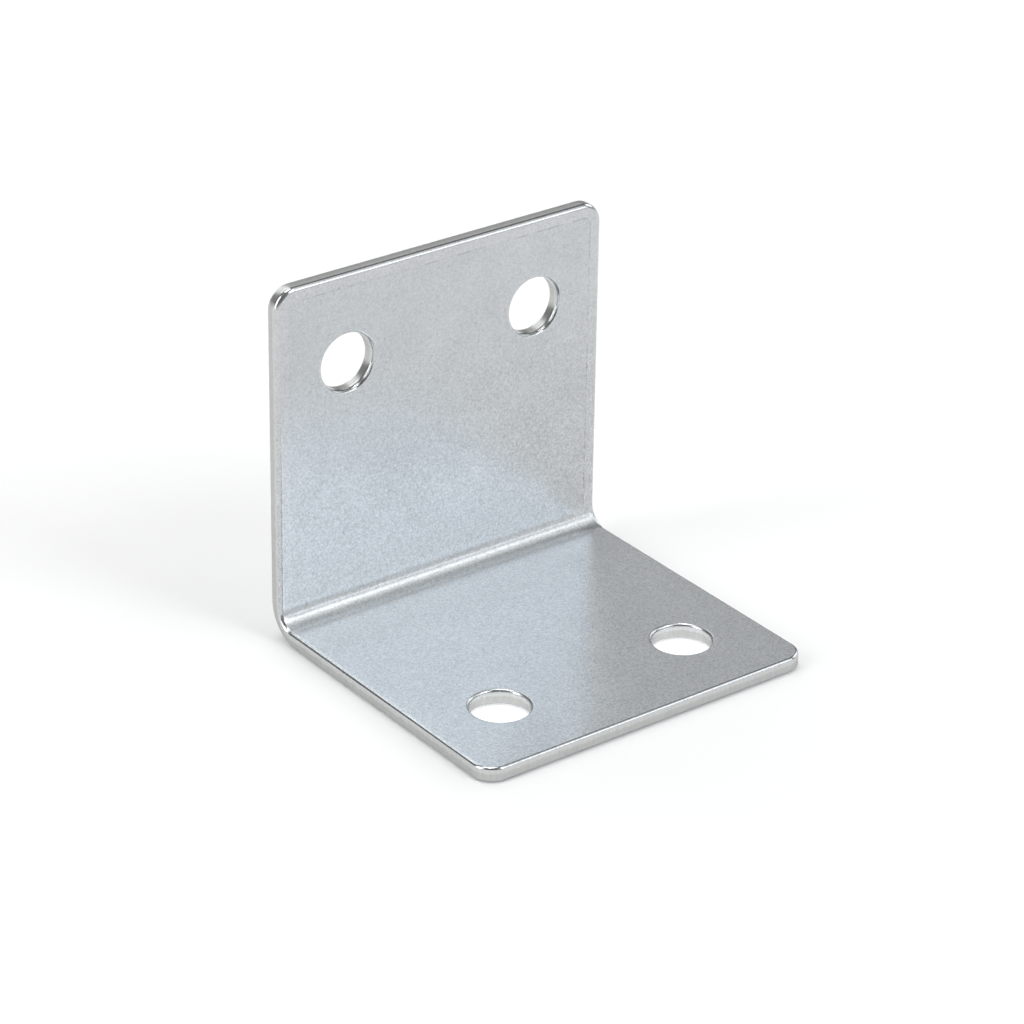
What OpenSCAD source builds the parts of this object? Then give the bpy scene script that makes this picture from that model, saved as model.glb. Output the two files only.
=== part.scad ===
// Angle bracket
// One strip of blue-passivated zinc-plated sheet steel, blanked, punched and folded once to a right angle.
// It has an upright leaf for the wall side and a flat leaf, the foot, each with two screw holes in a row.
// Millimetres, +Z up. The origin is the middle of the footprint, on the plane that the foot stands on.
// The wall leaf's back face looks along +Y and the foot reaches forward along -Y.

/* [Sheet] */

// Width of the strip, along the fold
width = 36; // [32:0.5:60]

// Height of the wall leaf, from the base plane to its top edge
wall_height = 34.6; // [26:0.1:60]

// Depth of the foot, from the wall leaf's back face to its front edge
foot_depth = 32.9; // [26:0.1:60]

// Thickness of the sheet
sheet_t = 1.5; // [1:0.1:3]

// Radius of the four free corners, seen square to their leaf
corner_r = 2.1; // [1:0.1:4]

/* [Fold] */

// Inside radius of the fold
fold_r = 1.7; // [1:0.1:4]

// Share of the sheet's thickness that is left at the middle of the fold
fold_kept = 0.82; // [0.7:0.01:1]

/* [Screw holes] */

// Diameter of all four screw holes, clear for an M5 screw
hole_d = 5.5; // [3:0.1:7]

// Distance between the two hole centres in the wall leaf
wall_hole_gap = 20.8; // [10:0.1:24]

// Distance from the wall leaf's top edge down to its hole centres
wall_hole_edge = 8.7; // [6:0.1:12]

// Distance between the two hole centres in the foot
foot_hole_gap = 20.5; // [10:0.1:24]

// Distance from the foot's front edge back to its hole centres
foot_hole_edge = 8.5; // [6:0.1:12]

/* [Edges] */

// Rounding of the edges on the inner side of the angle
show_edge_r = 0.4; // [0.1:0.02:0.6]

// Rounding of the edges on the outer side of the angle
back_edge_r = 0.3; // [0.1:0.02:0.6]

// Rounding of both rims of each screw hole
rim_r = 0.26; // [0.1:0.02:0.5]

/* [Hidden] */

$fn = 96;

// How far a cutter reaches past the face that it cuts
past = 1;

// An edge rounding takes at most this share of the sheet
most_of_sheet = 0.4;
show_r = min(show_edge_r, most_of_sheet * sheet_t);
back_r = min(back_edge_r, most_of_sheet * sheet_t);
hole_rim_r = min(rim_r, most_of_sheet * sheet_t);

half_width = width / 2;
hole_r = hole_d / 2;

// Both fold arcs meet the flat faces tangentially. With the sheet thinned to fold_kept on the diagonal,
// the outside arc is wider than the inside radius and the sheet's thickness together. It is kept to a
// whole micrometre, so that the cutters round the fold end exactly where those along the leaves start.
diagonal = sqrt(2);
micrometres = 1000;
fold_inner_r = fold_r;
fold_widening = sheet_t * (diagonal - fold_kept) / (diagonal - 1);
fold_outer_r = round(micrometres * (fold_r + fold_widening)) / micrometres;

steel = [0.76, 0.78, 0.80];

// Waste outside a rounded corner that sits at the origin, with the metal in the +X +Y quarter.
module corner_waste(r) {
    difference() {
        translate([-past, -past])
            square(r + past);
        translate([r, r])
            circle(r);
    }
}

// Quarter plane with its corner at the origin rounded, long enough to bound a leaf.
module rounded_quarter(r, x_size, y_size) {
    difference() {
        square([x_size, y_size]);
        corner_waste(r);
    }
}

// Section of the folded sheet: X runs forward from the wall leaf's back face, Y runs up from the base.
module folded_section() {
    difference() {
        rounded_quarter(fold_outer_r, foot_depth, wall_height);
        translate([sheet_t, sheet_t])
            rounded_quarter(fold_inner_r, foot_depth, wall_height);
    }
}

// The folded strip with square corners and sharp edges, its width along X.
module folded_strip() {
    translate([-half_width, 0, 0])
        rotate([90, 0, 90])
            linear_extrude(width)
                folded_section();
}

// One screw hole through the sheet along Z, opening into a rounded rim on both faces.
module screw_hole() {
    rotate_extrude()
        union() {
            translate([0, -past])
                square([hole_r, sheet_t + 2 * past]);
            translate([hole_r, 0])
                corner_waste(hole_rim_r);
            translate([hole_r, sheet_t])
                mirror([0, 1])
                    corner_waste(hole_rim_r);
        }
}

// Edge cutter of radius r along +Z, with the metal in the +X +Y quarter.
module straight_edge_cutter(r, run) {
    linear_extrude(run)
        corner_waste(r);
}

// Edge cutter of radius r round a free corner: the quarter of a ring in the +X +Y quarter,
// for the rim of a disc of radius corner_r whose top face is at the origin's height.
module corner_edge_cutter(r) {
    rotate_extrude(angle = 90)
        translate([corner_r, 0])
            rotate(180)
                corner_waste(r);
}

// Everything that rounds the edges on one face of a leaf. The face is at Z = 0 with the metal below it,
// the side edges start at Y = flat_start, where the fold ends, and the free edge is at Y = reach.
module leaf_edge_cutters(r, flat_start, reach) {
    for (side = [0, 1])
        mirror([side, 0, 0]) {
            // side edge
            translate([half_width, reach - corner_r, 0])
                rotate([90, 180, 0])
                    straight_edge_cutter(r, reach - corner_r - flat_start);
            // free corner
            translate([half_width - corner_r, reach - corner_r, 0])
                corner_edge_cutter(r);
        }
    // free edge
    translate([corner_r - half_width, reach, 0])
        rotate([0, 90, 0])
            rotate(270)
                straight_edge_cutter(r, width - 2 * corner_r);
}

// Cuts for one leaf that lies on Z = 0 and runs along +Y from the fold.
module leaf_cuts(reach, hole_gap, hole_edge) {
    for (side = [0, 1])
        mirror([side, 0, 0]) {
            // free corner, through the sheet
            translate([half_width, reach, -past])
                rotate(180)
                    linear_extrude(sheet_t + 2 * past)
                        corner_waste(corner_r);
            translate([hole_gap / 2, reach - hole_edge, 0])
                screw_hole();
        }
    translate([0, 0, sheet_t])
        leaf_edge_cutters(show_r, sheet_t + fold_inner_r, reach);
    mirror([0, 0, 1])
        leaf_edge_cutters(back_r, fold_outer_r, reach);
}

// Quarter ring that rounds the ends of the fold's inside face, from foot to wall leaf.
module inside_fold_cutter() {
    translate([0, sheet_t + fold_inner_r, sheet_t + fold_inner_r])
        rotate([0, 90, 0])
            rotate(270)
                rotate_extrude(angle = 90)
                    translate([fold_inner_r, half_width])
                        mirror([0, 1])
                            corner_waste(show_r);
}

// Quarter ring that rounds the ends of the fold's outside face.
module outside_fold_cutter() {
    translate([0, fold_outer_r, fold_outer_r])
        rotate([0, 90, 0])
            rotate(270)
                rotate_extrude(angle = 90)
                    translate([fold_outer_r, half_width])
                        rotate(180)
                            corner_waste(back_r);
}

// The finished bracket, drawn with the wall leaf's back face on Y = 0 and the foot along +Y.
module bracket_shape() {
    difference() {
        folded_strip();
        leaf_cuts(foot_depth, foot_hole_gap, foot_hole_edge);
        // the wall leaf is the foot turned up through the plane that halves the fold
        mirror([0, 1, -1])
            leaf_cuts(wall_height, wall_hole_gap, wall_hole_edge);
        for (side = [0, 1])
            mirror([side, 0, 0]) {
                inside_fold_cutter();
                outside_fold_cutter();
            }
    }
}

// The bracket is one piece of folded sheet, so it is one node.
module bracket() {
    color(steel)
        translate([0, foot_depth / 2, 0])
            mirror([0, 1, 0])
                bracket_shape();
}

bracket();
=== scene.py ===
# %% [markdown]
# # A folded angle bracket, in bright zinc-plated steel
# The real part starts as a flat blank. A die punches its outline and its four screw holes, a press folds
# it once to a right angle, a tumbling barrel takes the sharpness off every edge, and a plating bath leaves
# a thin coat of zinc with a faintly blue passivation on it.
# This lesson makes the blank, writes the fold down as a rule, prepares the finish, and then folds the
# bracket. A table, lights and a camera come last.

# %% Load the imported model
import math

import bmesh
import bpy
from mathutils import Matrix, Vector
from mathutils.geometry import delaunay_2d_cdt


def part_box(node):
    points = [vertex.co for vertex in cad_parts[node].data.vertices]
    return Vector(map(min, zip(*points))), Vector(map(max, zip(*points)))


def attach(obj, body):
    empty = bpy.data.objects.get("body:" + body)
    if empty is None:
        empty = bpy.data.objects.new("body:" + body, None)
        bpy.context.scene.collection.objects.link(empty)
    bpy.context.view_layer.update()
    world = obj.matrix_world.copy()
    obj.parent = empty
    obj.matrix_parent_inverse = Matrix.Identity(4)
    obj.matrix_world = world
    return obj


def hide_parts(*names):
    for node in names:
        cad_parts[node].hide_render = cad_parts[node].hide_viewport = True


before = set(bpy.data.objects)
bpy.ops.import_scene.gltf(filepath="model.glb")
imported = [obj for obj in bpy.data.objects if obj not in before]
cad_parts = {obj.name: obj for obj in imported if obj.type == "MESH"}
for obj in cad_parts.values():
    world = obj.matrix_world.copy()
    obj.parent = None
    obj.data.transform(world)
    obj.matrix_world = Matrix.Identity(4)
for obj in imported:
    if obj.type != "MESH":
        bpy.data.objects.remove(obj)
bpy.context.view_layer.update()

# %% [markdown]
# ## The sizes of the blank
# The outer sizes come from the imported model, so the visual bracket fills the same box. The sheet, fold and
# hole sizes are the ones that the part is built to. Everything is in metres, so one small constant, `MM`,
# keeps the numbers readable.

# %% Sizes
MM = 0.001
BRACKET_LOW, BRACKET_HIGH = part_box("bracket")
WIDTH = BRACKET_HIGH.x - BRACKET_LOW.x
FOOT_DEPTH = BRACKET_HIGH.y - BRACKET_LOW.y
WALL_HEIGHT = BRACKET_HIGH.z - BRACKET_LOW.z
SHEET = 1.5 * MM
CORNER_R = 2.1 * MM
FOLD_IN_R = 1.7 * MM
FOLD_KEPT = 0.82
FOLD_OUT_R = FOLD_IN_R + SHEET * (math.sqrt(2) - FOLD_KEPT) / (math.sqrt(2) - 1)
HOLE_R = 2.75 * MM
WALL_HOLE_X, WALL_HOLE_DROP = 10.4 * MM, 8.7 * MM
FOOT_HOLE_X, FOOT_HOLE_BACK = 10.25 * MM, 8.5 * MM
SHOW_EDGE_R, BACK_EDGE_R, RIM_R = 0.4 * MM, 0.3 * MM, 0.26 * MM
print(f"bracket {WIDTH / MM:.1f} x {FOOT_DEPTH / MM:.1f} x {WALL_HEIGHT / MM:.1f} mm")

# %% [markdown]
# On the flat blank, `u` runs across the strip and `v` runs from the foot's front edge to the wall leaf's top
# edge. The two flat leaves keep their true lengths. Between them lies the fold zone, as long as the inside
# of the fold measured along its surface: a short flat, a quarter circle and a short flat. The nose of the
# press leaves one fine crease along the inside of the fold, a little nearer to the wall leaf.

# %% Lengths along the blank
FOOT_FLAT = FOOT_DEPTH - FOLD_OUT_R
WALL_FLAT = WALL_HEIGHT - FOLD_OUT_R
FOLD_LEAD = FOLD_OUT_R - FOLD_IN_R - SHEET
FOLD_RUN = 2 * FOLD_LEAD + FOLD_IN_R * math.pi / 2
FOLD_END = FOOT_FLAT + FOLD_RUN
BLANK_LENGTH = FOLD_END + WALL_FLAT
CREASE_TURN = math.radians(56)
CREASE_PLACE = FOOT_FLAT + FOLD_LEAD + FOLD_IN_R * CREASE_TURN
CREASE_HALF = 0.07 * MM
FOOT_HOLES = [(side * FOOT_HOLE_X, FOOT_HOLE_BACK) for side in (-1, 1)]
WALL_HOLES = [(side * WALL_HOLE_X, BLANK_LENGTH - WALL_HOLE_DROP) for side in (-1, 1)]
HOLES = FOOT_HOLES + WALL_HOLES
print(f"blank {BLANK_LENGTH / MM:.2f} mm long, fold zone {FOLD_RUN / MM:.2f} mm")

# %% [markdown]
# ## Rows and columns of points
# A mesh that will be bent needs rows of points across the bend, close together where it curves and wider
# apart where it stays flat. `spread` divides a stretch evenly, at about the step asked for.

# %% Rows and columns
FLAT_STEP = 0.45 * MM
FOLD_STEP = 0.12 * MM
CREASE_STEP = 0.02 * MM


def spread(start, end, step):
    """Even places from start to end, both included, about one step apart."""
    count = max(1, round((end - start) / step))
    return [start + (end - start) * k / count for k in range(count + 1)]


columns = spread(CORNER_R - WIDTH / 2, WIDTH / 2 - CORNER_R, FLAT_STEP)
rows = spread(CORNER_R, FOOT_FLAT, FLAT_STEP)
rows += spread(FOOT_FLAT, CREASE_PLACE - CREASE_HALF, FOLD_STEP)[1:]
rows += spread(CREASE_PLACE - CREASE_HALF, CREASE_PLACE + CREASE_HALF, CREASE_STEP)[1:]
rows += spread(CREASE_PLACE + CREASE_HALF, FOLD_END, FOLD_STEP)[1:]
rows += spread(FOLD_END, BLANK_LENGTH - CORNER_R, FLAT_STEP)[1:]
print(len(columns), "columns and", len(rows), "rows")

# %% [markdown]
# ## Outlines at a distance from the edge
# The rounded edges need rings that run parallel to the outline, each a little further in. A rounded
# rectangle moved inwards is again a rounded rectangle, so one function gives every ring with the same number
# of points. The same holds for the holes, where a ring further from the rim is a bigger circle.

# %% Outline rings
CORNER_STEPS = 14
HOLE_STEPS = 80


def quarter(u, v, radius, start):
    """The points inside a quarter circle about (u, v), without its two ends."""
    turns = [math.radians(start + 90 * k / CORNER_STEPS) for k in range(1, CORNER_STEPS)]
    return [(u + radius * math.cos(a), v + radius * math.sin(a)) for a in turns]


def strip_ring(inset):
    """The strip's outline moved inwards, anticlockwise from the left end of the foot's front edge."""
    half, radius = WIDTH / 2, CORNER_R - inset
    near, far = CORNER_R, BLANK_LENGTH - CORNER_R
    ring = [(u, inset) for u in columns] + quarter(half - CORNER_R, near, radius, -90)
    ring += [(half - inset, v) for v in rows] + quarter(half - CORNER_R, far, radius, 0)
    ring += [(u, BLANK_LENGTH - inset) for u in reversed(columns)]
    ring += quarter(CORNER_R - half, far, radius, 90)
    ring += [(inset - half, v) for v in reversed(rows)] + quarter(CORNER_R - half, near, radius, 180)
    return ring


def hole_ring(centre, inset):
    """A ring round a screw hole, clockwise, because the metal lies outside it."""
    turns = [-2 * math.pi * k / HOLE_STEPS for k in range(HOLE_STEPS)]
    radius = HOLE_R + inset
    return [(centre[0] + radius * math.cos(a), centre[1] + radius * math.sin(a)) for a in turns]


print(len(strip_ring(0)), "points round the strip,", HOLE_STEPS, "round each hole")

# %% [markdown]
# ## The section of an edge
# Cut through the sheet near an edge and look at the section. On top the sheet sinks very slightly towards the
# edge, where the die dragged the metal down. Then comes the tumbled rounding, the plain sheared wall, and a
# smaller rounding underneath. The wall of the outline is a little convex, and the edges of the wall leaf's
# holes roll over deeper on top. `edge_section` lists a section from the top face, round the edge, to the
# bottom face, as pairs of distance from the edge and height in the sheet.

# %% Edge section
ROUND_STEPS = 9
WALL_STEPS = 8
DRAG_REACH, DRAG_DEPTH = 1.32 * MM, 0.012 * MM
BARREL = 0.03 * MM
RIM_DEEP = 0.6 * MM
TOP_INSETS = [n * MM for n in (1.75, 1.45, 1.36, 1.3, 1.2, 1.0, 0.8, 0.6, 0.5)]
BACK_INSETS = [n * MM for n in (1.75, 1.2, 0.8, 0.55, 0.4)]


def drag(inset):
    """How far the top face lies below the sheet's own face, this far from an edge."""
    return DRAG_DEPTH * max(0, 1 - inset / DRAG_REACH)


def barrel(height):
    """How far the strip's cut wall lies inside its widest line, at this height in the sheet."""
    return BARREL * (2 * height / SHEET - 1) ** 2


def edge_section(top_r, bottom_r, top_deep, bulge):
    """The section of one edge, with its top rounding top_r wide and top_deep deep."""
    turns = [math.pi / 2 * k / ROUND_STEPS for k in range(ROUND_STEPS + 1)]
    section = [(n, SHEET - drag(n)) for n in TOP_INSETS if n > top_r + BARREL]
    crown = SHEET - drag(top_r)
    section += [(top_r * (1 - math.sin(a)), crown - top_deep * (1 - math.cos(a))) for a in turns]
    wall_top = crown - top_deep
    drop = (bottom_r - wall_top) / WALL_STEPS
    section += [(0, wall_top + drop * k) for k in range(1, WALL_STEPS)]
    section += [(bottom_r * (1 - math.cos(a)), bottom_r * (1 - math.sin(a))) for a in turns]
    section += [(n, 0) for n in reversed(BACK_INSETS) if n > bottom_r + BARREL]
    return [(inset + bulge(level) * (inset <= top_r), level) for inset, level in section]


strip_section = edge_section(SHOW_EDGE_R, BACK_EDGE_R, SHOW_EDGE_R, barrel)
foot_hole_section = edge_section(RIM_R, RIM_R, RIM_R, lambda height: 0)
wall_hole_section = edge_section(RIM_R, RIM_R, RIM_DEEP, lambda height: 0)
hole_sections = [foot_hole_section] * len(FOOT_HOLES) + [wall_hole_section] * len(WALL_HOLES)
print(len(strip_section), "rings round the strip,", len(wall_hole_section), "round a hole")

# %% [markdown]
# The barrel does not soften every edge alike. The rounding is tightest along the foot's front edge and grows
# towards the wall leaf's top edge. A ring is linear in its inset, so each of its points can simply slide
# along the line from the outline to its own place.

# %% Rounding that grows along the strip
FRONT_GROWTH, TOP_GROWTH = 0.65, 1.15
CROWN = SHEET - drag(SHOW_EDGE_R)
WALL_TOP = CROWN - SHOW_EDGE_R


def strip_points(inset, height):
    """The strip's ring at this inset and height, with its top rounding scaled along the strip."""
    inner_edge = TOP_INSETS[0]
    fade = min(1, (inner_edge - inset) / (inner_edge - SHOW_EDGE_R))
    points = []
    for (u0, v0), (u, v) in zip(strip_ring(0), strip_ring(inset)):
        growth = FRONT_GROWTH + (TOP_GROWTH - FRONT_GROWTH) * v0 / BLANK_LENGTH
        up_wall = min(1, max(0, (height - BACK_EDGE_R) / (WALL_TOP - BACK_EDGE_R)))
        lower = SHOW_EDGE_R * (growth - 1) * up_wall
        if height > WALL_TOP:
            lower *= max(0, CROWN - height) / SHOW_EDGE_R
        slide = 1 + (growth - 1) * fade * (height > WALL_TOP)
        points.append((u0 + (u - u0) * slide, v0 + (v - v0) * slide, height - lower))
    return points


def hole_points(centre, inset, height):
    """A hole's ring at this inset and height."""
    return [(u, v, height) for u, v in hole_ring(centre, inset)]


least, most = SHOW_EDGE_R * FRONT_GROWTH / MM, SHOW_EDGE_R * TOP_GROWTH / MM
print(f"rounding {least:.2f} mm in front, {most:.2f} mm at the top")

# %% [markdown]
# ## Filling the faces
# Between the innermost rings lies the plain face. A lattice of rows and columns fills it, and Delaunay
# triangulation joins the lattice to the rings without a gap. Pairs of triangles are then joined into quads,
# which keeps the mesh light and the fold smooth.

# %% Plain face
LATTICE_GAP = 0.3 * MM
HULL_TRIANGLES, SAME_PLACE = 0, 1e-9


def clear_of_holes(u, v):
    """Whether a point of the lattice keeps clear of the rings round every hole."""
    reach = HOLE_R + TOP_INSETS[0] + LATTICE_GAP
    return all(math.hypot(u - c[0], v - c[1]) > reach for c in HOLES)


def plain_face(rings):
    """Points and triangles of the face inside the strip's ring and outside the holes' rings."""
    points, edges = [], []
    for ring in rings:
        first = len(points)
        points += ring
        edges += [(first + k, first + (k + 1) % len(ring)) for k in range(len(ring))]
    points += [(u, v) for u in columns for v in rows if clear_of_holes(u, v)]
    made = delaunay_2d_cdt([Vector(p) for p in points], edges, [], HULL_TRIANGLES, SAME_PLACE, True)
    made_points, _, made_faces, origins, _, _ = made
    names = [origin[0] for origin in origins]
    triangles = []
    for face in made_faces:
        centre = sum((made_points[k] for k in face), Vector((0, 0))) / 3
        if all((centre - Vector(c)).length > HOLE_R + TOP_INSETS[0] for c in HOLES):
            triangles.append([names[k] for k in face])
    return points, triangles


face_rings = [strip_ring(strip_section[0][0])]
face_rings += [hole_ring(centre, section[0][0]) for centre, section in zip(HOLES, hole_sections)]
face_points, face_triangles = plain_face(face_rings)
print(len(face_points), "points and", len(face_triangles), "triangles in one plain face")

# %% [markdown]
# ## Putting the blank together
# Every ring becomes a row of vertices at its height, neighbouring rings are joined by quads, and the plain
# face closes the top and the bottom. Three attributes are stored for the finish: how far a point is from the
# strip's outline, how far it is from the nearest polished edge, and which faces are the sheared wall.

# %% Distances from the edges
def from_outline(u, v):
    """Distance in from the strip's rounded outline."""
    past_u = abs(u) - (WIDTH / 2 - CORNER_R)
    past_v = abs(v - BLANK_LENGTH / 2) - (BLANK_LENGTH / 2 - CORNER_R)
    return CORNER_R - math.hypot(max(past_u, 0), max(past_v, 0)) - min(max(past_u, past_v), 0)


def from_any_edge(u, v):
    """Distance from the nearest polished edge: the outline of the strip, or the rim of a wall hole."""
    return min([from_outline(u, v)] + [math.hypot(u - c[0], v - c[1]) - HOLE_R for c in WALL_HOLES])


print(f"the middle of the crease lies {from_outline(0, CREASE_PLACE) / MM:.1f} mm inside the outline")

# %% Blank
SHEARED_LOW, SHEARED_HIGH = 0.15 * SHEET, 0.8 * SHEET
QUAD_FLATNESS, QUAD_SHAPE = math.radians(2), math.radians(20)


def make_blank():
    """The finished blank, with u and v as its x and y and its outside face at height 0."""
    blank = bmesh.new()
    from_edge = blank.verts.layers.float.new("from_edge")
    near_edge = blank.verts.layers.float.new("near_edge")
    sheared = blank.faces.layers.float.new("sheared")
    tops, bottoms = [], []
    loops = [(strip_points, strip_section)]
    for centre, section in zip(HOLES, hole_sections):
        loops.append((lambda inset, height, c=centre: hole_points(c, inset, height), section))
    for points_at, section in loops:
        rings = []
        for inset, height in section:
            rings.append([blank.verts.new(point) for point in points_at(inset, height)])
        for (_, upper_level), (_, lower_level), upper, lower in zip(section, section[1:], rings, rings[1:]):
            for k in range(len(upper)):
                n = (k + 1) % len(upper)
                face = blank.faces.new((lower[k], lower[n], upper[n], upper[k]))
                face[sheared] = float(lower_level > SHEARED_LOW and upper_level < SHEARED_HIGH)
        tops += rings[0]
        bottoms += rings[-1]
    for u, v in face_points[len(tops):]:
        tops.append(blank.verts.new((u, v, SHEET)))
        bottoms.append(blank.verts.new((u, v, 0)))
    flat = [blank.faces.new([tops[k] for k in t]) for t in face_triangles]
    flat += [blank.faces.new([bottoms[k] for k in reversed(t)]) for t in face_triangles]
    bmesh.ops.join_triangles(
        blank, faces=flat, angle_face_threshold=QUAD_FLATNESS, angle_shape_threshold=QUAD_SHAPE
    )
    bmesh.ops.recalc_face_normals(blank, faces=blank.faces)
    for vert in blank.verts:
        vert[from_edge] = from_outline(vert.co.x, vert.co.y)
        vert[near_edge] = from_any_edge(vert.co.x, vert.co.y)
    mesh = bpy.data.meshes.new("blank")
    blank.to_mesh(mesh)
    blank.free()
    return mesh


blank_mesh = make_blank()
bracket = bpy.data.objects.new("zinc_bracket", blank_mesh)
bpy.context.scene.collection.objects.link(bracket)
print("blank:", len(blank_mesh.vertices), "vertices,", len(blank_mesh.polygons), "faces")

# %% [markdown]
# ## Small helpers for node trees
# Node trees are easier to read when each node is one call. `place` adds a node, fills or links its inputs and
# returns it. `calc` and `shift` wrap the two maths nodes, and return their result.

# %% Node helpers
def place(tree, kind, inputs=(), **settings):
    """A new node. An input is given as a value, or as the socket that feeds it."""
    node = tree.nodes.new(kind)
    for name, value in settings.items():
        setattr(node, name, value)
    pairs = inputs.items() if isinstance(inputs, dict) else enumerate(inputs)
    for key, value in pairs:
        if isinstance(value, bpy.types.NodeSocket):
            tree.links.new(value, node.inputs[key])
        elif value is not None:
            node.inputs[key].default_value = value
    return node


def calc(tree, operation, *values, clamp=False):
    """One sum on numbers."""
    return place(tree, "ShaderNodeMath", values, operation=operation, use_clamp=clamp).outputs[0]


def shift(tree, operation, *values):
    """One sum on places."""
    return place(tree, "ShaderNodeVectorMath", values, operation=operation).outputs[0]


print("helpers ready: place, calc, shift")

# %% [markdown]
# ## The fold, as a rule
# A press brake does one simple thing to every point of the blank, so the fold is a Geometry Nodes tree and
# not a hand-made shape. The tree knows the paths of the two faces of the sheet. The inside face runs along
# the foot, round a quarter circle and up the wall leaf, and the outside face does the same with a wider,
# less deep curve, because the press thins the sheet a little at the corner. A point halfway through the
# sheet lands halfway between the two paths. Changing `Inside radius` or `Sheet` re-folds the whole bracket.

# %% Inputs of the fold tree
fold_tree = bpy.data.node_groups.new("fold_the_blank", "GeometryNodeTree")
FOLD_INPUTS = {
    "Blank": ("NodeSocketGeometry", None),
    "Sheet": ("NodeSocketFloat", SHEET),
    "Inside radius": ("NodeSocketFloat", FOLD_IN_R),
    "Outside radius": ("NodeSocketFloat", FOLD_OUT_R),
    "Foot flat": ("NodeSocketFloat", FOOT_FLAT),
    "Front edge": ("NodeSocketFloat", BRACKET_LOW.y),
    "Half width": ("NodeSocketFloat", WIDTH / 2),
    "End swell": ("NodeSocketFloat", 0.07 * MM),
    "End droop": ("NodeSocketFloat", 0.05 * MM),
    "Crease": ("NodeSocketFloat", 0.025 * MM),
    "Unevenness": ("NodeSocketFloat", 0.004 * MM),
    "Seed": ("NodeSocketFloat", 7.0),
    "Face finish": ("NodeSocketMaterial", None),
    "Sheared finish": ("NodeSocketMaterial", None),
}
for socket_name, (socket_type, _) in FOLD_INPUTS.items():
    fold_tree.interface.new_socket(name=socket_name, in_out="INPUT", socket_type=socket_type)
fold_tree.interface.new_socket(name="Bracket", in_out="OUTPUT", socket_type="NodeSocketGeometry")
fold_in = place(fold_tree, "NodeGroupInput").outputs
print("fold tree inputs:", ", ".join(FOLD_INPUTS))

# %% [markdown]
# How far round the fold a point is depends only on its `v`. `run` is the distance past the start of the fold
# zone. The inside face turns only between its two short flats, and the outside face turns all the way. `bent`
# is 1 in the middle of the fold and falls smoothly to 0 at both ends of the fold zone.

# %% Angles of the two faces
blank_place = place(fold_tree, "GeometryNodeInputPosition").outputs[0]
across, along, height = place(fold_tree, "ShaderNodeSeparateXYZ", [blank_place]).outputs
lead = calc(fold_tree, "SUBTRACT", fold_in["Outside radius"], fold_in["Inside radius"])
lead = calc(fold_tree, "SUBTRACT", lead, fold_in["Sheet"])
arc = calc(fold_tree, "MULTIPLY", fold_in["Inside radius"], math.pi / 2)
zone = calc(fold_tree, "MULTIPLY_ADD", lead, 2, arc)
run = calc(fold_tree, "SUBTRACT", along, fold_in["Foot flat"])
past_lead = calc(fold_tree, "SUBTRACT", run, lead)
inner_share = calc(fold_tree, "DIVIDE", past_lead, arc, clamp=True)
outer_share = calc(fold_tree, "DIVIDE", run, zone, clamp=True)
bent = calc(fold_tree, "MULTIPLY", outer_share, calc(fold_tree, "SUBTRACT", 1, outer_share))
bent = calc(fold_tree, "POWER", calc(fold_tree, "MULTIPLY", bent, 4), 2)
print("angles of both faces are set")

# %% [markdown]
# Bending squeezes the metal on the inside of the fold, and at the two ends it has somewhere to go. It swells
# out sideways there, by 0.07 mm at the inside face, and that face droops towards the end. The crease of the
# press's nose fades out before it gets there. `depth` adds the droop and the crease together, as a distance
# below the plain face. Rolled sheet is never quite flat, so `ripple` adds a slow noise of a few thousandths
# of a millimetre. It is too small to see as a shape, but it makes the reflections swim a little. `level`
# then says how far the point lies from the outside face, 0, towards the inside face, 1.

# %% Swollen ends
DROOP_REACH = 0.9 * MM
RIPPLE_SCALE = 170.0

ripple_place = place(fold_tree, "ShaderNodeCombineXYZ", [across, along, 0.0]).outputs[0]
ripple = place(
    fold_tree,
    "ShaderNodeTexNoise",
    {"Vector": ripple_place, "W": fold_in["Seed"], "Scale": RIPPLE_SCALE, "Detail": 1.0},
    noise_dimensions="4D",
).outputs[0]
ripple = calc(fold_tree, "MULTIPLY", calc(fold_tree, "SUBTRACT", ripple, 0.5), fold_in["Unevenness"])
plain_level = calc(fold_tree, "DIVIDE", height, fold_in["Sheet"])
swell = calc(fold_tree, "DIVIDE", fold_in["End swell"], fold_in["Half width"])
swell = calc(fold_tree, "MULTIPLY", swell, calc(fold_tree, "MULTIPLY", bent, plain_level))
from_side = calc(fold_tree, "SUBTRACT", fold_in["Half width"], calc(fold_tree, "ABSOLUTE", across))
across = calc(fold_tree, "MULTIPLY_ADD", across, swell, across)
near_end = calc(fold_tree, "SUBTRACT", 1, calc(fold_tree, "DIVIDE", from_side, DROOP_REACH), clamp=True)
droop = calc(fold_tree, "MULTIPLY", calc(fold_tree, "MULTIPLY", near_end, near_end), bent)
droop = calc(fold_tree, "MULTIPLY", droop, fold_in["End droop"])
print("the ends of the fold swell and droop")

# %% The crease, and the level in the sheet
CREASE_FADE = 0.45 * MM
CREASE_CUT, CREASE_BLEND = 0.8, 0.3

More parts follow.
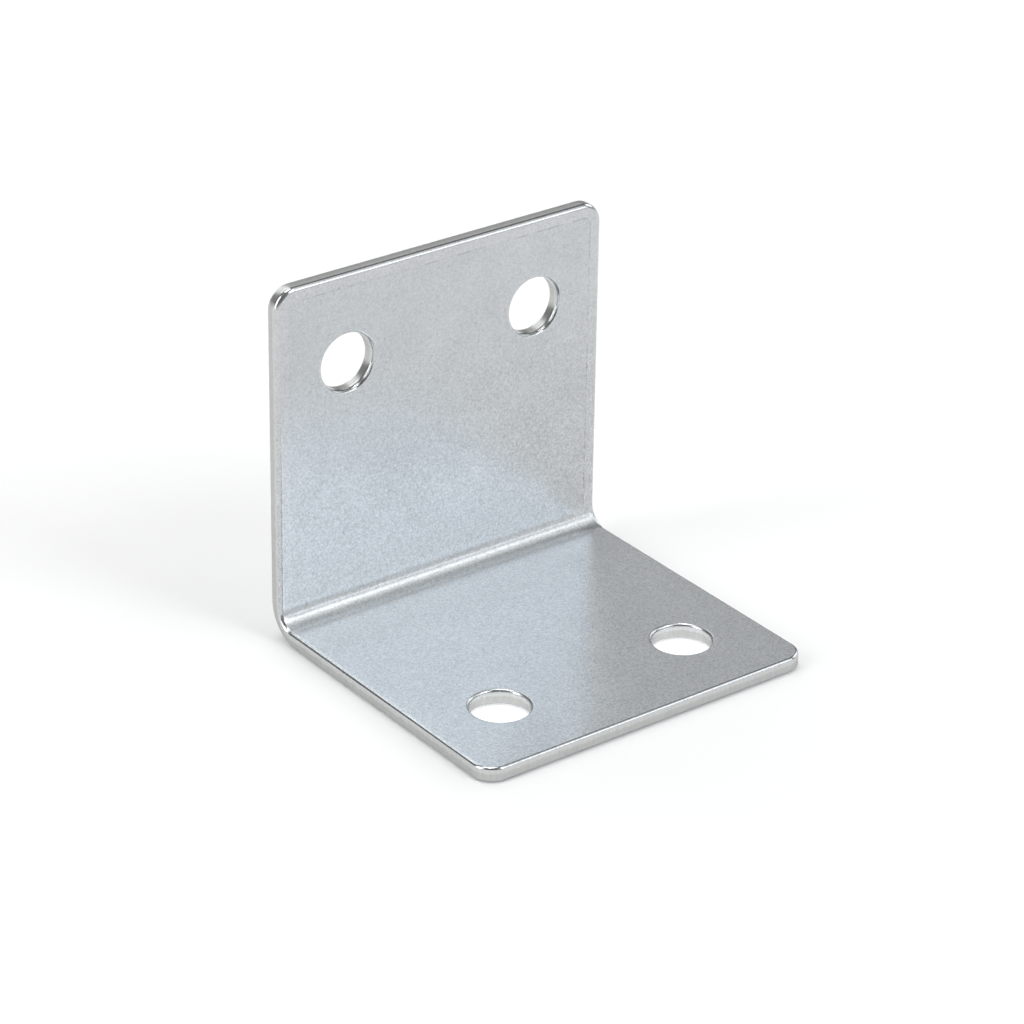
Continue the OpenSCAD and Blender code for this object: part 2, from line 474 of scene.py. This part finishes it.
to_crease = calc(fold_tree, "ABSOLUTE", calc(fold_tree, "SUBTRACT", along, CREASE_PLACE))
crease = calc(fold_tree, "SUBTRACT", 1, calc(fold_tree, "DIVIDE", to_crease, CREASE_HALF), clamp=True)
crease = calc(fold_tree, "SMOOTH_MIN", crease, CREASE_CUT, CREASE_BLEND)
crease_fade = calc(fold_tree, "SUBTRACT", calc(fold_tree, "DIVIDE", from_side, CREASE_FADE), 1, clamp=True)
crease = calc(fold_tree, "MULTIPLY", calc(fold_tree, "MULTIPLY", crease, crease_fade), fold_in["Crease"])
depth = calc(fold_tree, "MULTIPLY", calc(fold_tree, "ADD", droop, crease), plain_level)
height = calc(fold_tree, "SUBTRACT", calc(fold_tree, "ADD", height, ripple), depth)
level = calc(fold_tree, "DIVIDE", height, fold_in["Sheet"])
print(f"the crease is {2 * CREASE_HALF / MM:.2f} mm wide")

# %% [markdown]
# Now the two paths. Each runs flat as far as its arc, then round the arc, then straight up.

# %% Paths of the two faces
def face_path(share, radius, flat_end, floor, beyond):
    """Where one face of the sheet runs: flat as far as flat_end, round the radius, then straight up."""
    angle = calc(fold_tree, "MULTIPLY", share, math.pi / 2)
    forward = calc(fold_tree, "MINIMUM", along, flat_end)
    forward = calc(fold_tree, "MULTIPLY_ADD", calc(fold_tree, "SINE", angle), radius, forward)
    rise = calc(fold_tree, "SUBTRACT", 1, calc(fold_tree, "COSINE", angle))
    up = calc(fold_tree, "MULTIPLY_ADD", rise, radius, floor)
    up = calc(fold_tree, "ADD", up, calc(fold_tree, "MAXIMUM", beyond, 0))
    forward = calc(fold_tree, "ADD", forward, fold_in["Front edge"])
    return place(fold_tree, "ShaderNodeCombineXYZ", [across, forward, up]).outputs[0]


inner_end = calc(fold_tree, "ADD", fold_in["Foot flat"], lead)
past_inner = calc(fold_tree, "SUBTRACT", past_lead, arc)
past_outer = calc(fold_tree, "SUBTRACT", run, zone)
inner_face = face_path(inner_share, fold_in["Inside radius"], inner_end, fold_in["Sheet"], past_inner)
outer_face = face_path(outer_share, fold_in["Outside radius"], fold_in["Foot flat"], 0.0, past_outer)
print("paths of the inside and the outside face are set")

# %% [markdown]
# Each point goes between the two paths, as far from the outside face as its level says. Two more attributes
# are stored before the points move. `blank_place` keeps the place on the flat blank, so that the finish can
# follow the sheet round the fold, and `bent` says how strongly the fold squeezes a point.

# %% Fold every point
through = shift(fold_tree, "SUBTRACT", inner_face, outer_face)
scaled = place(fold_tree, "ShaderNodeVectorMath", {0: through, "Scale": level}, operation="SCALE")
folded_place = shift(fold_tree, "ADD", outer_face, scaled.outputs[0])
kept_place = place(
    fold_tree,
    "GeometryNodeStoreNamedAttribute",
    {"Geometry": fold_in["Blank"], "Name": "blank_place", "Value": blank_place},
    data_type="FLOAT_VECTOR",
    domain="POINT",
).outputs[0]
kept_place = place(
    fold_tree,
    "GeometryNodeStoreNamedAttribute",
    {"Geometry": kept_place, "Name": "bent", "Value": bent},
    data_type="FLOAT",
    domain="POINT",
).outputs[0]
moved = {"Geometry": kept_place, "Position": folded_place}
folded = place(fold_tree, "GeometryNodeSetPosition", moved).outputs[0]
folded = place(fold_tree, "GeometryNodeSetShadeSmooth", {"Geometry": folded}).outputs[0]
print("every point of the blank has its place on the bracket")

# %% [markdown]
# The tree ends with the two finishes: one for the rolled faces and one for the sheared walls, which the blank
# has marked with its `sheared` attribute.

# %% End of the fold tree
folded = place(fold_tree, "GeometryNodeRealizeInstances", [folded]).outputs[0]
named = place(fold_tree, "GeometryNodeInputNamedAttribute", {"Name": "sheared"}, data_type="FLOAT")
compare = {0: named.outputs[0], 1: 0.5}
is_sheared = place(fold_tree, "FunctionNodeCompare", compare, operation="GREATER_THAN").outputs[0]
folded = place(
    fold_tree, "GeometryNodeSetMaterial", {"Geometry": folded, "Material": fold_in["Face finish"]}
).outputs[0]
folded = place(
    fold_tree,
    "GeometryNodeSetMaterial",
    {"Geometry": folded, "Selection": is_sheared, "Material": fold_in["Sheared finish"]},
).outputs[0]
place(fold_tree, "NodeGroupOutput", [folded])
print(len(fold_tree.nodes), "nodes in the fold tree")

# %% [markdown]
# ## What zinc plating looks like
# Electroplated zinc has a satin gloss. It is a metal, so its colour is the colour of its reflections: a light
# grey, cooled by the passivation. Up close it is mottled. The rolled steel under it is faintly pitted and the
# zinc crystals catch the light one by one, so small specks come out lighter or darker than their neighbours.
# Both finishes need this mottling, so it is a node group. It puts out only values, and each material decides
# what they do to its colour, its roughness and its relief. The three layers are single specks, slow clouds,
# and small dark pits where the zinc is thin.

# %% Group helpers
def new_group(name, inputs, outputs):
    """A shader group with named sockets, and its own input and output sockets."""
    group = bpy.data.node_groups.new(name, "ShaderNodeTree")
    for socket_name, socket_type, value in inputs:
        socket = group.interface.new_socket(name=socket_name, in_out="INPUT", socket_type=socket_type)
        if value is not None:
            socket.default_value = value
    for socket_name, socket_type in outputs:
        group.interface.new_socket(name=socket_name, in_out="OUTPUT", socket_type=socket_type)
    return group, place(group, "NodeGroupInput").outputs, place(group, "NodeGroupOutput").inputs


def noise(tree, vector, scale, detail, rough, seed):
    """A noise between 0 and 1. The seed is a place along its fourth axis."""
    return place(
        tree,
        "ShaderNodeTexNoise",
        {"Vector": vector, "W": seed, "Scale": scale, "Detail": detail, "Roughness": rough},
        noise_dimensions="4D",
    ).outputs[0]


def ramp(tree, value, low, high, start=0.0, end=1.0):
    """Maps low..high to start..end and holds the ends."""
    return place(tree, "ShaderNodeMapRange", {0: value, 1: low, 2: high, 3: start, 4: end}).outputs[0]


print("helpers ready: new_group, noise, ramp")

# %% Zinc grain group
PIT_ENDS = (0.38, 0.24)
grain_group, grain_in, grain_out = new_group(
    "zinc_grain",
    [
        ("Place", "NodeSocketVector", None),
        ("Speck scale", "NodeSocketFloat", 5600.0),
        ("Cloud scale", "NodeSocketFloat", 240.0),
        ("Pit scale", "NodeSocketFloat", 2600.0),
        ("Seed", "NodeSocketFloat", 3.0),
    ],
    [(name, "NodeSocketFloat") for name in ("Specks", "Clouds", "Pits")],
)
grain_place, grain_seed = grain_in["Place"], grain_in["Seed"]
specks = noise(grain_group, grain_place, grain_in["Speck scale"], detail=1.0, rough=0.6, seed=grain_seed)
clouds = noise(grain_group, grain_place, grain_in["Cloud scale"], detail=4.0, rough=0.6, seed=grain_seed)
pits = noise(grain_group, grain_place, grain_in["Pit scale"], detail=1.0, rough=0.5, seed=grain_seed)
pits = ramp(grain_group, pits, *PIT_ENDS)
for socket_name, value in (("Specks", specks), ("Clouds", clouds), ("Pits", pits)):
    grain_group.links.new(value, grain_out[socket_name])
print("group zinc_grain:", len(grain_group.nodes), "nodes")

# %% [markdown]
# Punching leaves its own marks along the outline. The die drags a border about 1.3 mm wide a little down into
# the sheet, and the mesh already sinks there. How the border catches the light is painted on as well: a
# painted sheen across the border, and a faint painted shade line where it ends, broken in places by a noise.
# The barrel polishes the arrises, and handling rubs them bright, more in some places than in others. The
# group gets the distances that the blank carries, and puts out four masks: the painted sheen border, its
# painted shade line, the arris, and its rubbed patches.

# %% Punch marks group
GAP_SCALE, GAP_ENDS = 900.0, (0.42, 0.56)
PATCH_SCALE, PATCH_ENDS = 700.0, (0.4, 0.65)
marks_group, marks_in, marks_out = new_group(
    "punch_marks_and_painted_light",
    [
        ("Place", "NodeSocketVector", None),
        ("From edge", "NodeSocketFloat", 1.0),
        ("Border width", "NodeSocketFloat", DRAG_REACH),
        ("Line width", "NodeSocketFloat", 0.09 * MM),
        ("From any edge", "NodeSocketFloat", 1.0),
        ("Arris reach", "NodeSocketFloat", 0.55 * MM),
    ],
    [(name, "NodeSocketFloat") for name in ("Border", "Line", "Arris", "Rub")],
)
# Border masks the painted sheen, and Line the painted shade line at the border's end.
to_line = calc(marks_group, "SUBTRACT", marks_in["From edge"], marks_in["Border width"])
border = calc(marks_group, "DIVIDE", to_line, marks_in["Line width"])
border = calc(marks_group, "SUBTRACT", 0, border, clamp=True)
line = calc(marks_group, "DIVIDE", calc(marks_group, "ABSOLUTE", to_line), marks_in["Line width"])
line = calc(marks_group, "SUBTRACT", 1, line, clamp=True)
gaps = noise(marks_group, marks_in["Place"], GAP_SCALE, detail=2.0, rough=0.6, seed=5.0)
line = calc(marks_group, "MULTIPLY", line, ramp(marks_group, gaps, *GAP_ENDS))
arris = calc(marks_group, "DIVIDE", marks_in["From any edge"], marks_in["Arris reach"])
arris = calc(marks_group, "SUBTRACT", 1, arris, clamp=True)
patches = noise(marks_group, marks_in["Place"], PATCH_SCALE, detail=3.0, rough=0.6, seed=9.0)
rub = calc(marks_group, "MULTIPLY", arris, ramp(marks_group, patches, *PATCH_ENDS))
for socket_name, value in (("Border", border), ("Line", line), ("Arris", arris), ("Rub", rub)):
    marks_group.links.new(value, marks_out[socket_name])
print("group punch_marks_and_painted_light:", len(marks_group.nodes), "nodes")

# %% [markdown]
# ## The finish of the rolled faces
# The rolled faces carry the grain and the clouds in their colour, because zinc is mottled and not only rough.
# The painted sheen of the border shows on the inner side of the wall leaf, and its painted shade line only
# along the top and the right. `on_top` picks that side of the sheet, `on_wall` fades the marks out towards
# the fold, and
# `on_right` keeps the line away from the left side.

# %% Finish helpers
def attribute(tree, name, output):
    """One output of a stored attribute: 1 is a place, 2 is a number."""
    return place(tree, "ShaderNodeAttribute", attribute_name=name).outputs[output]


def blend_colour(tree, factor, first, second):
    """The first colour where the factor is 0 and the second where it is 1."""
    mix = {0: factor, 6: first, 7: second}
    return place(tree, "ShaderNodeMix", mix, data_type="RGBA").outputs[2]


def brighten(tree, colour, amount):
    """The colour times one plain number."""
    return place(tree, "ShaderNodeVectorMath", {0: colour, "Scale": amount}, operation="SCALE").outputs[0]


def new_finish(name, metallic=1.0):
    """A new material, its node tree and its shader."""
    material = bpy.data.materials.new(name)
    material.use_nodes = True
    shader = material.node_tree.nodes["Principled BSDF"]
    shader.inputs["Metallic"].default_value = metallic
    return material, material.node_tree, shader


print("helpers ready: attribute, blend_colour, brighten, new_finish")

# %% Where the painted sheen and shade line show
# How strongly the border's painted sheen and its painted shade line show.
SHEEN_BORDER_SHARE, SHADE_LINE_SHARE = 0.5, 0.3
SHADE_LINE_FADE = (-16 * MM, -13 * MM)
SIDE_FADE = (0.4 * SHEET, 0.6 * SHEET)

face_finish, face_tree, face_shader = new_finish("zinc_rolled_face")
face_place = attribute(face_tree, "blank_place", 1)
face_grain = place(face_tree, "ShaderNodeGroup", {}, node_tree=grain_group)
face_marks = place(face_tree, "ShaderNodeGroup", {}, node_tree=marks_group)
for group_node in (face_grain, face_marks):
    face_tree.links.new(face_place, group_node.inputs["Place"])
face_tree.links.new(attribute(face_tree, "from_edge", 2), face_marks.inputs["From edge"])
face_tree.links.new(attribute(face_tree, "near_edge", 2), face_marks.inputs["From any edge"])
face_across, face_along, face_height = place(face_tree, "ShaderNodeSeparateXYZ", [face_place]).outputs
on_top = ramp(face_tree, face_height, *SIDE_FADE)
on_wall = calc(face_tree, "MULTIPLY", on_top, ramp(face_tree, face_along, CREASE_PLACE, FOLD_END))
on_right = ramp(face_tree, face_across, *SHADE_LINE_FADE)
sheen_border_share = calc(face_tree, "MULTIPLY", on_wall, SHEEN_BORDER_SHARE)
shade_line_share = calc(face_tree, "MULTIPLY", calc(face_tree, "MULTIPLY", on_wall, on_right), SHADE_LINE_SHARE)
painted_sheen_border = calc(face_tree, "MULTIPLY", face_marks.outputs["Border"], sheen_border_share)
painted_shade_line = calc(face_tree, "MULTIPLY", face_marks.outputs["Line"], shade_line_share)
print("the border and its line show on the wall leaf")

# %% [markdown]
# The tone is painted lighter and darker along the strip, as painted light and shade. The foot is painted a
# little lighter than the wall leaf, the wall leaf is painted darkest just past the fold, as painted shade
# near the corner, and its upper part is painted a trace lighter again. The specks stand out most on the foot
# and fade up the wall leaf. Pits and the painted shade line darken the tone, and rubbed arrises are a trace
# lighter.

# %% Tone of the rolled faces
FACE_TONE = (0.551, 0.573, 0.588)
BORDER_SHEEN_TONE = (0.600, 0.606, 0.612)
# Painted light and shade: the foot lighter, the wall leaf darker past the fold, its upper part a trace
# lighter.
FOOT_PAINTED_LIGHT, WALL_PAINTED_SHADE, TOP_PAINTED_LIGHT = 1.08, 0.93, 0.04
TOP_LIGHT_ENDS = (FOLD_END + 12 * MM, FOLD_END + 24 * MM)
SPECK_FADE = (FOLD_END + 8 * MM, BLANK_LENGTH - 8 * MM)
SPECK_SHARES, CLOUD_SHARE, PIT_SHARE, RUB_SHARE = (0.9, 0.5), 0.2, 0.16, 0.06

speck_share = ramp(face_tree, face_along, *SPECK_FADE, *SPECK_SHARES)
# Painted light and shade along the strip, before the grain is added.
tone = ramp(face_tree, face_along, CREASE_PLACE, FOLD_END, FOOT_PAINTED_LIGHT, WALL_PAINTED_SHADE)
tone = calc(face_tree, "ADD", tone, ramp(face_tree, face_along, *TOP_LIGHT_ENDS, 0.0, TOP_PAINTED_LIGHT))
for mottle, share in (("Specks", speck_share), ("Clouds", CLOUD_SHARE)):
    swing = calc(face_tree, "SUBTRACT", face_grain.outputs[mottle], 0.5)
    tone = calc(face_tree, "MULTIPLY_ADD", swing, share, tone)
tone = calc(face_tree, "MULTIPLY_ADD", face_grain.outputs["Pits"], -PIT_SHARE, tone)
# The painted shade line darkens the tone.
tone = calc(face_tree, "SUBTRACT", tone, painted_shade_line)
tone = calc(face_tree, "MULTIPLY_ADD", face_marks.outputs["Rub"], RUB_SHARE, tone)
# The border is painted lighter, as a painted sheen.
face_colour = blend_colour(face_tree, painted_sheen_border, (*FACE_TONE, 1), (*BORDER_SHEEN_TONE, 1))
face_tree.links.new(brighten(face_tree, face_colour, tone), face_shader.inputs["Base Color"])
print(f"tone {FOOT_PAINTED_LIGHT} on the foot, {WALL_PAINTED_SHADE} just past the fold")

# %% [markdown]
# The open part of the foot is a little smoother than the rest. The squeezed metal in the fold is rougher, the
# arrises are polished by the barrel, and the specks also stand up very slightly in the relief.

# %% Gloss of the rolled faces
FOOT_ROUGH, REST_ROUGH = 0.22, 0.265
ROUGH_FADE = (FOOT_FLAT - 7 * MM, FOOT_FLAT - 2 * MM)
CLOUD_ROUGH, BENT_ROUGH, ARRIS_POLISH = 0.06, 0.04, 0.14
SPECK_RELIEF = 0.006 * MM

face_rough = ramp(face_tree, face_along, *ROUGH_FADE, FOOT_ROUGH, REST_ROUGH)
face_rough = calc(face_tree, "MULTIPLY_ADD", face_grain.outputs["Clouds"], CLOUD_ROUGH, face_rough)
face_rough = calc(face_tree, "MULTIPLY_ADD", attribute(face_tree, "bent", 2), BENT_ROUGH, face_rough)
face_rough = calc(face_tree, "MULTIPLY_ADD", face_marks.outputs["Arris"], -ARRIS_POLISH, face_rough)
face_tree.links.new(face_rough, face_shader.inputs["Roughness"])
face_relief = {"Strength": 1.0, "Distance": SPECK_RELIEF, "Height": face_grain.outputs["Specks"]}
face_bump = place(face_tree, "ShaderNodeBump", face_relief).outputs[0]
face_tree.links.new(face_bump, face_shader.inputs["Normal"])
print("zinc_rolled_face is ready")

# %% [markdown]
# ## The finish of the sheared walls
# A sheared wall has two zones. Next to the face that the punch met, the die burnished the metal smooth. Below
# that the sheet broke, and the break is rougher, with fine hatching across it. The line between them wanders
# a little. Zinc on the break comes out a shade warmer and greener than on the rolled faces. A fine rough wall
# seen at a flat angle shades itself, and `GRAZING_TINT` dims its reflections there.

# %% Sheared wall finish
BURNISHED_TONE = (0.595, 0.606, 0.598)
BROKEN_TONE = (0.515, 0.526, 0.514)
GRAZING_TINT = 0.8
BREAK_LEVEL, BREAK_BLEND, BREAK_WANDER = 0.6 * SHEET, 0.08 * MM, 0.25 * MM
HATCH_STRETCH, HATCH_SCALE, HATCH_SHARE, WANDER_SCALE = 0.12, 6500.0, 0.35, 1400.0

shear_finish, shear_tree, shear_shader = new_finish("zinc_sheared_wall")
shear_shader.inputs["Specular Tint"].default_value = (GRAZING_TINT, GRAZING_TINT, GRAZING_TINT, 1)
shear_place = attribute(shear_tree, "blank_place", 1)
shear_grain = place(shear_tree, "ShaderNodeGroup", {}, node_tree=grain_group)
shear_tree.links.new(shear_place, shear_grain.inputs["Place"])
stretched = {"Vector": shear_place, "Scale": (1.0, 1.0, HATCH_STRETCH)}
hatch_place = place(shear_tree, "ShaderNodeMapping", stretched).outputs[0]
hatch = noise(shear_tree, hatch_place, HATCH_SCALE, detail=2.0, rough=0.6, seed=11.0)
shear_level = place(shear_tree, "ShaderNodeSeparateXYZ", [shear_place]).outputs[2]
wander = noise(shear_tree, hatch_place, WANDER_SCALE, detail=2.0, rough=0.6, seed=2.0)
wander = calc(shear_tree, "MULTIPLY_ADD", wander, 2 * BREAK_WANDER, -BREAK_WANDER)
break_place = calc(shear_tree, "ADD", shear_level, wander)
broken = ramp(shear_tree, break_place, BREAK_LEVEL + BREAK_BLEND, BREAK_LEVEL - BREAK_BLEND)
shear_colour = blend_colour(shear_tree, broken, (*BURNISHED_TONE, 1), (*BROKEN_TONE, 1))
shear_tone = calc(shear_tree, "MULTIPLY_ADD", calc(shear_tree, "SUBTRACT", hatch, 0.5), HATCH_SHARE, 1.0)
shear_tree.links.new(brighten(shear_tree, shear_colour, shear_tone), shear_shader.inputs["Base Color"])
print(f"the sheet broke {BREAK_LEVEL / MM:.1f} mm above its outside face")

# %% Gloss of the sheared walls
BURNISHED_ROUGH, BROKEN_ROUGHER, SHEAR_CLOUD_ROUGH = 0.18, 0.10, 0.06
HATCH_RELIEF, HATCH_STRENGTH = 0.004 * MM, 0.6

shear_rough = calc(shear_tree, "MULTIPLY_ADD", broken, BROKEN_ROUGHER, BURNISHED_ROUGH)
shear_rough = calc(shear_tree, "MULTIPLY_ADD", shear_grain.outputs["Clouds"], SHEAR_CLOUD_ROUGH, shear_rough)
shear_tree.links.new(shear_rough, shear_shader.inputs["Roughness"])
shear_relief = {"Strength": HATCH_STRENGTH, "Distance": HATCH_RELIEF, "Height": hatch}
shear_bump = place(shear_tree, "ShaderNodeBump", shear_relief).outputs[0]
shear_tree.links.new(shear_bump, shear_shader.inputs["Normal"])
print("zinc_sheared_wall is ready")

# %% [markdown]
# ## Folding the bracket
# Now the press closes on the blank. The tree is put on the blank as a modifier, which gets its values by the
# sockets' identifiers, before it is first evaluated. The result is then copied into a plain mesh, so that
# nothing in the finished bracket depends on the tree any more.

# %% Fold it and keep the result
press = bracket.modifiers.new("press", "NODES")
press.node_group = fold_tree
fold_values = {name: value for name, (_, value) in FOLD_INPUTS.items() if value is not None}
fold_values |= {"Face finish": face_finish, "Sheared finish": shear_finish}
for item in fold_tree.interface.items_tree:
    if item.in_out == "INPUT" and item.name in fold_values:
        press[item.identifier] = fold_values[item.name]
bpy.context.view_layer.update()
evaluated = bracket.evaluated_get(bpy.context.evaluated_depsgraph_get())
folded_mesh = bpy.data.meshes.new_from_object(evaluated)
bracket.modifiers.remove(press)
bracket.data = folded_mesh
folded_mesh.name = "zinc_bracket"
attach(bracket, "root")
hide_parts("bracket")
triangles = sum(len(p.vertices) - 2 for p in folded_mesh.polygons)
print("bracket:", triangles, "triangles,", [m.name for m in folded_mesh.materials])

# %% [markdown]
# ## The table
# The bracket stands on a matt white table. The table catches the soft shadow along the front of the foot, and
# the upper part of the wall leaf mirrors it, so it reaches well out in front of the bracket. It shines very
# faintly itself, which keeps the shadows on it pale.

# %% Table
TABLE_HALF = 0.6
TABLE_LEVEL = -0.02 * MM
PAINT_WHITE, FULL_WHITE = (0.9, 0.9, 0.9, 1), (1, 1, 1, 1)
PAINT_ROUGH, PAINT_SHEEN, PAINT_GLOW = 0.95, 0.1, 0.05


def flat_sheet(name, half_x, half_y, level, material):
    """A flat rectangle about the origin, linked to the scene apart from the bracket."""
    mesh = bpy.data.meshes.new(name)
    corners = [(-half_x, -half_y), (half_x, -half_y), (half_x, half_y), (-half_x, half_y)]
    mesh.from_pydata([(x, y, level) for x, y in corners], [], [(0, 1, 2, 3)])
    mesh.materials.append(material)
    sheet = bpy.data.objects.new(name, mesh)
    bpy.context.scene.collection.objects.link(sheet)


paint, _, paint_shader = new_finish("matt_white", 0.0)
paint_shader.inputs["Base Color"].default_value = PAINT_WHITE
paint_shader.inputs["Roughness"].default_value = PAINT_ROUGH
paint_shader.inputs["Specular IOR Level"].default_value = PAINT_SHEEN
paint_shader.inputs["Emission Color"].default_value = FULL_WHITE
paint_shader.inputs["Emission Strength"].default_value = PAINT_GLOW
flat_sheet("table", TABLE_HALF, TABLE_HALF, TABLE_LEVEL, paint)
print(f"table {2 * TABLE_HALF:.1f} m wide")

# %% [markdown]
# The foot shades the table under its own screw holes, and the holes would look grey. So a small lit sheet
# lies under the foot. The holes then show clean white, and their walls catch some light from below.

# %% Lit sheet under the foot
OPAL_GLOW = 0.4
OPAL_BACK_X, OPAL_BACK_Y = 2 * MM, 3 * MM

opal, _, opal_shader = new_finish("opal_sheet", 0.0)
opal_shader.inputs["Base Color"].default_value = PAINT_WHITE
opal_shader.inputs["Emission Color"].default_value = FULL_WHITE
opal_shader.inputs["Emission Strength"].default_value = OPAL_GLOW
flat_sheet("opal_sheet", WIDTH / 2 - OPAL_BACK_X, FOOT_DEPTH / 2 - OPAL_BACK_Y, TABLE_LEVEL / 2, opal)
print("the lit sheet lies under the foot")

# %% [markdown]
# ## Soft boxes
# Bare metal shows nothing but its surroundings, so the lighting is laid out as a set of big, even soft boxes
# round the table, with darker gaps between them. Each box is given as the bracket sees it, in degrees: its
# compass direction, its height above the horizon, and half of what it fills across and up. Its brightness
# and its tint follow. A box that fills more of the sky throws softer light. The gaps matter too: they draw
# the dark bands in the fold and on the edges. Daylight colours one long strip at the front right a little
# cooler, and the metal takes that tint where it mirrors the strip. The studio itself is pale near the
# horizon and below it, and dim above.

# %% Studio
BOX_REACH = 2.0
STUDIO_GREY, FLOOR_PALE = (0.2, 0.2, 0.2, 1), (0.85, 0.85, 0.85, 1)
PALE_ENDS = (0.08, 0.11)
NEUTRAL, COOL = (1.0, 1.0, 1.0), (0.952, 1.0, 1.067)
SOFT_BOXES = {
    "front_right_strip": (34, 28, 19.5, 8.5, 2.1, COOL),
    "front_high_box": (22, 45, 8, 8.5, 5.6, NEUTRAL),
    "front_low_card": (30, 14, 22, 7, 0.6, NEUTRAL),
    "right_high_card": (54, 53, 14, 17, 0.71, NEUTRAL),
    "right_low_box": (92, 27, 20, 13, 1.7, NEUTRAL),
    "back_right_card": (147, 33, 11.5, 17, 0.46, NEUTRAL),
    "back_card": (180, 28, 17, 26, 1.4, NEUTRAL),
    "top_box": (180, 84, 12, 12, 5.6, NEUTRAL),
    "left_card": (262, 28, 14, 26, 2.9, NEUTRAL),
}


def soft_box(name, compass, height, half_across, half_up, radiance, tint):
    """An even rectangular light that faces the bracket. Compass 0 is in front and 90 is at the right."""
    turn, lift = math.radians(compass), math.radians(height)
    toward = Vector((math.sin(turn) * math.cos(lift), -math.cos(turn) * math.cos(lift), math.sin(lift)))
    light = bpy.data.lights.new(name, "AREA")
    light.shape = "RECTANGLE"
    light.color = tint
    light.size = 2 * BOX_REACH * math.tan(math.radians(half_across))
    light.size_y = 2 * BOX_REACH * math.tan(math.radians(half_up))
    light.energy = radiance * math.pi * light.size * light.size_y
    lamp = bpy.data.objects.new(name, light)
    lamp.location = toward * BOX_REACH
    lamp.rotation_euler = (-toward).to_track_quat("-Z", "Y").to_euler()
    lamp.visible_camera = False
    bpy.context.scene.collection.objects.link(lamp)


studio = bpy.data.worlds.new("studio")
bpy.context.scene.world = studio
studio.use_nodes = True
sky = studio.node_tree
sky_place = place(sky, "ShaderNodeTexCoord").outputs["Generated"]
sky_rise = place(sky, "ShaderNodeSeparateXYZ", [sky_place]).outputs[2]
sky_colour = blend_colour(sky, ramp(sky, sky_rise, *PALE_ENDS), FLOOR_PALE, STUDIO_GREY)
sky.links.new(sky_colour, sky.nodes["Background"].inputs["Color"])
for box_name, box_values in SOFT_BOXES.items():
    soft_box(box_name, *box_values)
bpy.context.scene.view_settings.view_transform = "Standard"
print("soft boxes:", ", ".join(SOFT_BOXES))

# %% [markdown]
# ## The camera
# A long lens, a third of a metre away, keeps the bracket's edges almost parallel. The camera stands in front
# of the bracket and to its left, looks down on it, and is tilted by one degree, as a camera held in the hand
# is. Its place is built from three unit vectors: its own right, its own up, and the way back from the
# bracket.

# %% Camera
AZIMUTH, ELEVATION, ROLL = math.radians(-37.342), math.radians(27.569), math.radians(0.941)
AIM = Vector((-2.75, 0.61, 14.73)) * MM
CAMERA_REACH = 354.4 * MM
FOCAL_IN_MM, SENSOR_IN_MM = 140.565, 36
NEAREST_SEEN, FARTHEST_SEEN = 0.01, 50

level_back = math.cos(ELEVATION)
back = Vector((math.sin(AZIMUTH) * level_back, -math.cos(AZIMUTH) * level_back, math.sin(ELEVATION)))
right = Vector((math.cos(AZIMUTH), math.sin(AZIMUTH), 0))
up = back.cross(right)
tilted_right = right * math.cos(ROLL) + up * math.sin(ROLL)
tilted_up = up * math.cos(ROLL) - right * math.sin(ROLL)
lens = bpy.data.cameras.new("camera")
lens.lens, lens.sensor_width = FOCAL_IN_MM, SENSOR_IN_MM
lens.clip_start, lens.clip_end = NEAREST_SEEN, FARTHEST_SEEN
camera = bpy.data.objects.new("camera", lens)
turn = Matrix((tilted_right, tilted_up, back)).transposed()
camera.matrix_world = Matrix.Translation(AIM + back * CAMERA_REACH) @ turn.to_4x4()
bpy.context.scene.collection.objects.link(camera)
bpy.context.scene.camera = camera
print("camera at", [round(c, 4) for c in camera.location])
